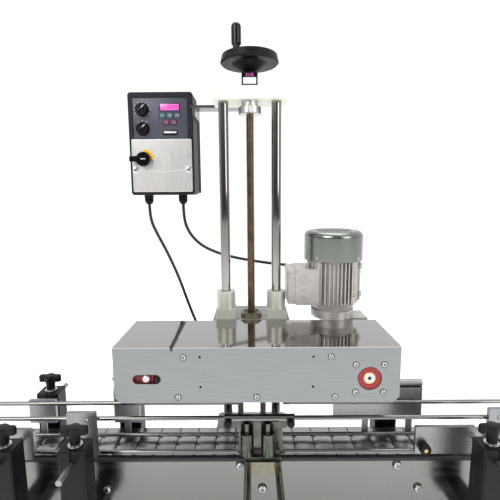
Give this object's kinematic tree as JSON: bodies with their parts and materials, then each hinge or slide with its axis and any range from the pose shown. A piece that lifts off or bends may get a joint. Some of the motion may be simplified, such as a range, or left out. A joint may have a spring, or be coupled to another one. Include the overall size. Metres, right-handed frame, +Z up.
{
  "type": "capping machine",
  "caption": "Belt-press capping head on a two-rod handwheel column over a table-top chain conveyor bed, with worm-gear motor, speed controller and adjustable bottle guide rails.",
  "frame": {"origin": "centre of the four leg bolt holes in the underside of the bed", "axes": "+X along the conveyor, +Y to the back where the column stands, +Z up; the operator stands on -Y"},
  "size_m": [1.1, 0.534, 0.965],
  "materials": {
    "stainless_sheet": "polished stainless sheet",
    "head_stainless": "brushed stainless plate",
    "cover_stainless": "mirror-polished stainless sheet",
    "chain_steel": "ground stainless chain plates",
    "black_strip": "low-friction plastic",
    "bright_steel": "turned steel",
    "chromed_rod": "hard chrome",
    "zinc_steel": "cream painted plate",
    "blue_aluminium": "anodised aluminium",
    "bronze": "bronze",
    "black_gloss": "black moulding",
    "black_matte": "black nylon",
    "red_seal": "red rubber seal",
    "belt_rubber": "toothed belt",
    "motor_cast": "grey cast housing",
    "cowl_zinc": "zinc-plated sheet",
    "drive_body": "dark grey moulding",
    "drive_silver": "brushed aluminium cover",
    "blued_plate": "satin stainless plate",
    "cable_black": "black cable sheath",
    "wheel_black": "black reinforced nylon",
    "foot_grey": "grey steel"
  },
  "bodies": {
    "frame": {"bed_sides": "stainless_sheet", "wear_strips": "black_strip", "chain": "chain_steel", "cross_ties": "bright_steel", "column_foot": "foot_grey", "guide_rods": "chromed_rod", "top_plate": "zinc_steel", "screw_bush": "foot_grey", "position_indicator": "black_gloss", "rail_posts": "black_matte", "clamp_rods": "bright_steel", "drive_arm": "stainless_sheet", "drive_housing": "drive_body", "drive_cover": "drive_silver", "cable_glands": "black_matte", "mains_lead": "cable_black", "mains_coil": "cable_black", "mains_plug": "cable_black", "motor_cable": "cable_black"},
    "screw": {"lead_screw": "bronze", "handwheel": "wheel_black"},
    "wheel_handle": {"wheel_handle": "black_gloss"},
    "head": {"carriage_plate": "foot_grey", "guide_bushes": "blue_aluminium", "lead_nut": "bronze", "front_plate": "head_stainless", "rear_plate": "head_stainless", "top_covers": "cover_stainless", "plate_screws": "bright_steel", "head_ties": "bright_steel", "press_shoe": "black_strip", "shaft_bearings": "bright_steel", "seal_ring": "red_seal", "press_belt": "belt_rubber", "gearbox_housing": "motor_cast", "motor_shield": "motor_cast", "motor_body": "motor_cast", "fan_cowl": "cowl_zinc", "terminal_lid": "motor_cast"},
    "drive": {"drive_shaft": "bright_steel", "drive_pulley": "bright_steel", "worm_wheel": "bronze"},
    "rotor": {"motor_rotor": "bright_steel"},
    "tensioner": {"tension_yoke": "bright_steel"},
    "idler": {"idler_pulley": "bright_steel"},
    "tension_screw_front": {"tension_screw_front": "bright_steel"},
    "tension_screw_rear": {"tension_screw_rear": "bright_steel"},
    "front_rail_set": {"front_rails": "stainless_sheet", "front_rail_plates": "blued_plate"},
    "rear_rail_set": {"rear_rails": "stainless_sheet", "rear_rail_plates": "blued_plate"},
    "speed_knob": {"speed_knob": "black_gloss"},
    "selector_knob": {"selector_knob": "black_gloss"},
    "isolator_handle": {"isolator_handle": "black_gloss"},
    "wing_knob_1": {"wing_knob_1": "black_matte"},
    "wing_knob_2": {"wing_knob_2": "black_matte"},
    "wing_knob_3": {"wing_knob_3": "black_matte"},
    "wing_knob_4": {"wing_knob_4": "black_matte"},
    "wing_knob_5": {"wing_knob_5": "black_matte"},
    "wing_knob_6": {"wing_knob_6": "black_matte"}
  },
  "joints": [
    {"name": "screw_turn", "type": "hinge", "parent": "frame", "child": "screw", "pos_m": [-0.003, 0.101, 0.5], "axis": [0, 0, 1], "range_deg": [-27010, 910]},
    {"name": "head_lift", "type": "slide", "parent": "frame", "child": "head", "axis": [0, 0, 1], "range_m": [-0.01, 0.3], "deforming": ["motor_cable"]},
    {"name": "handle_spin", "type": "hinge", "parent": "screw", "child": "wheel_handle", "pos_m": [-0.02738, 0.06199, 0.93], "axis": [0, 0, 1], "continuous": true},
    {"name": "rotor_spin", "type": "hinge", "parent": "head", "child": "rotor", "pos_m": [0.1715, 0.112, 0.45], "axis": [0, 0, 1], "continuous": true},
    {"name": "drive_spin", "type": "hinge", "parent": "head", "child": "drive", "pos_m": [0.2015, 0, 0.3335], "axis": [0, 1, 0], "continuous": true},
    {"name": "tension_turn_front", "type": "hinge", "parent": "head", "child": "tension_screw_front", "pos_m": [-0.235, -0.061, 0.3335], "axis": [1, 0, 0], "range_deg": [-3460, 0]},
    {"name": "tension_turn_rear", "type": "hinge", "parent": "head", "child": "tension_screw_rear", "pos_m": [-0.235, 0.059, 0.3335], "axis": [1, 0, 0], "range_deg": [-3460, 0]},
    {"name": "tension_slide", "type": "slide", "parent": "head", "child": "tensioner", "axis": [1, 0, 0], "range_m": [0, 0.012]},
    {"name": "idler_spin", "type": "hinge", "parent": "tensioner", "child": "idler", "pos_m": [-0.1865, 0, 0.3335], "axis": [0, 1, 0], "continuous": true},
    {"name": "front_rail_slide", "type": "slide", "parent": "frame", "child": "front_rail_set", "axis": [0, 1, 0], "range_m": [-0.03, 0.01]},
    {"name": "rear_rail_slide", "type": "slide", "parent": "frame", "child": "rear_rail_set", "axis": [0, 1, 0], "range_m": [-0.01, 0.02]},
    {"name": "speed_turn", "type": "hinge", "parent": "frame", "child": "speed_knob", "pos_m": [-0.2455, 0.2, 0.84], "axis": [0, -1, 0], "range_deg": [-150, 150]},
    {"name": "selector_turn", "type": "hinge", "parent": "frame", "child": "selector_knob", "pos_m": [-0.2455, 0.2, 0.798], "axis": [0, -1, 0], "range_deg": [-45, 45]},
    {"name": "isolator_turn", "type": "hinge", "parent": "frame", "child": "isolator_handle", "pos_m": [-0.2435, 0.19, 0.73], "axis": [0, -1, 0], "range_deg": [-90, 0]},
    {"name": "wing_knob_1_turn", "type": "hinge", "parent": "frame", "child": "wing_knob_1", "pos_m": [-0.415, -0.115, 0.25], "axis": [0, 0, 1], "range_deg": [0, 360]},
    {"name": "wing_knob_2_turn", "type": "hinge", "parent": "frame", "child": "wing_knob_2", "pos_m": [-0.296, -0.115, 0.25], "axis": [0, 0, 1], "range_deg": [0, 360]},
    {"name": "wing_knob_3_turn", "type": "hinge", "parent": "frame", "child": "wing_knob_3", "pos_m": [0.393, -0.115, 0.25], "axis": [0, 0, 1], "range_deg": [0, 360]},
    {"name": "wing_knob_4_turn", "type": "hinge", "parent": "frame", "child": "wing_knob_4", "pos_m": [-0.431, 0.072, 0.25], "axis": [0, 0, 1], "range_deg": [0, 360]},
    {"name": "wing_knob_5_turn", "type": "hinge", "parent": "frame", "child": "wing_knob_5", "pos_m": [-0.26, 0.072, 0.25], "axis": [0, 0, 1], "range_deg": [0, 360]},
    {"name": "wing_knob_6_turn", "type": "hinge", "parent": "frame", "child": "wing_knob_6", "pos_m": [0.278, 0.072, 0.25], "axis": [0, 0, 1], "range_deg": [0, 360]}
  ],
  "couplings": [
    {"joint": "screw_turn", "follows": "head_lift", "rad_per_m": -1570.8},
    {"joint": "drive_spin", "follows": "rotor_spin", "ratio": 0.05},
    {"joint": "idler_spin", "follows": "rotor_spin", "ratio": 0.05},
    {"joint": "tension_turn_front", "follows": "tension_slide", "rad_per_m": -5026.5},
    {"joint": "tension_turn_rear", "follows": "tension_slide", "rad_per_m": -5026.5}
  ]
}
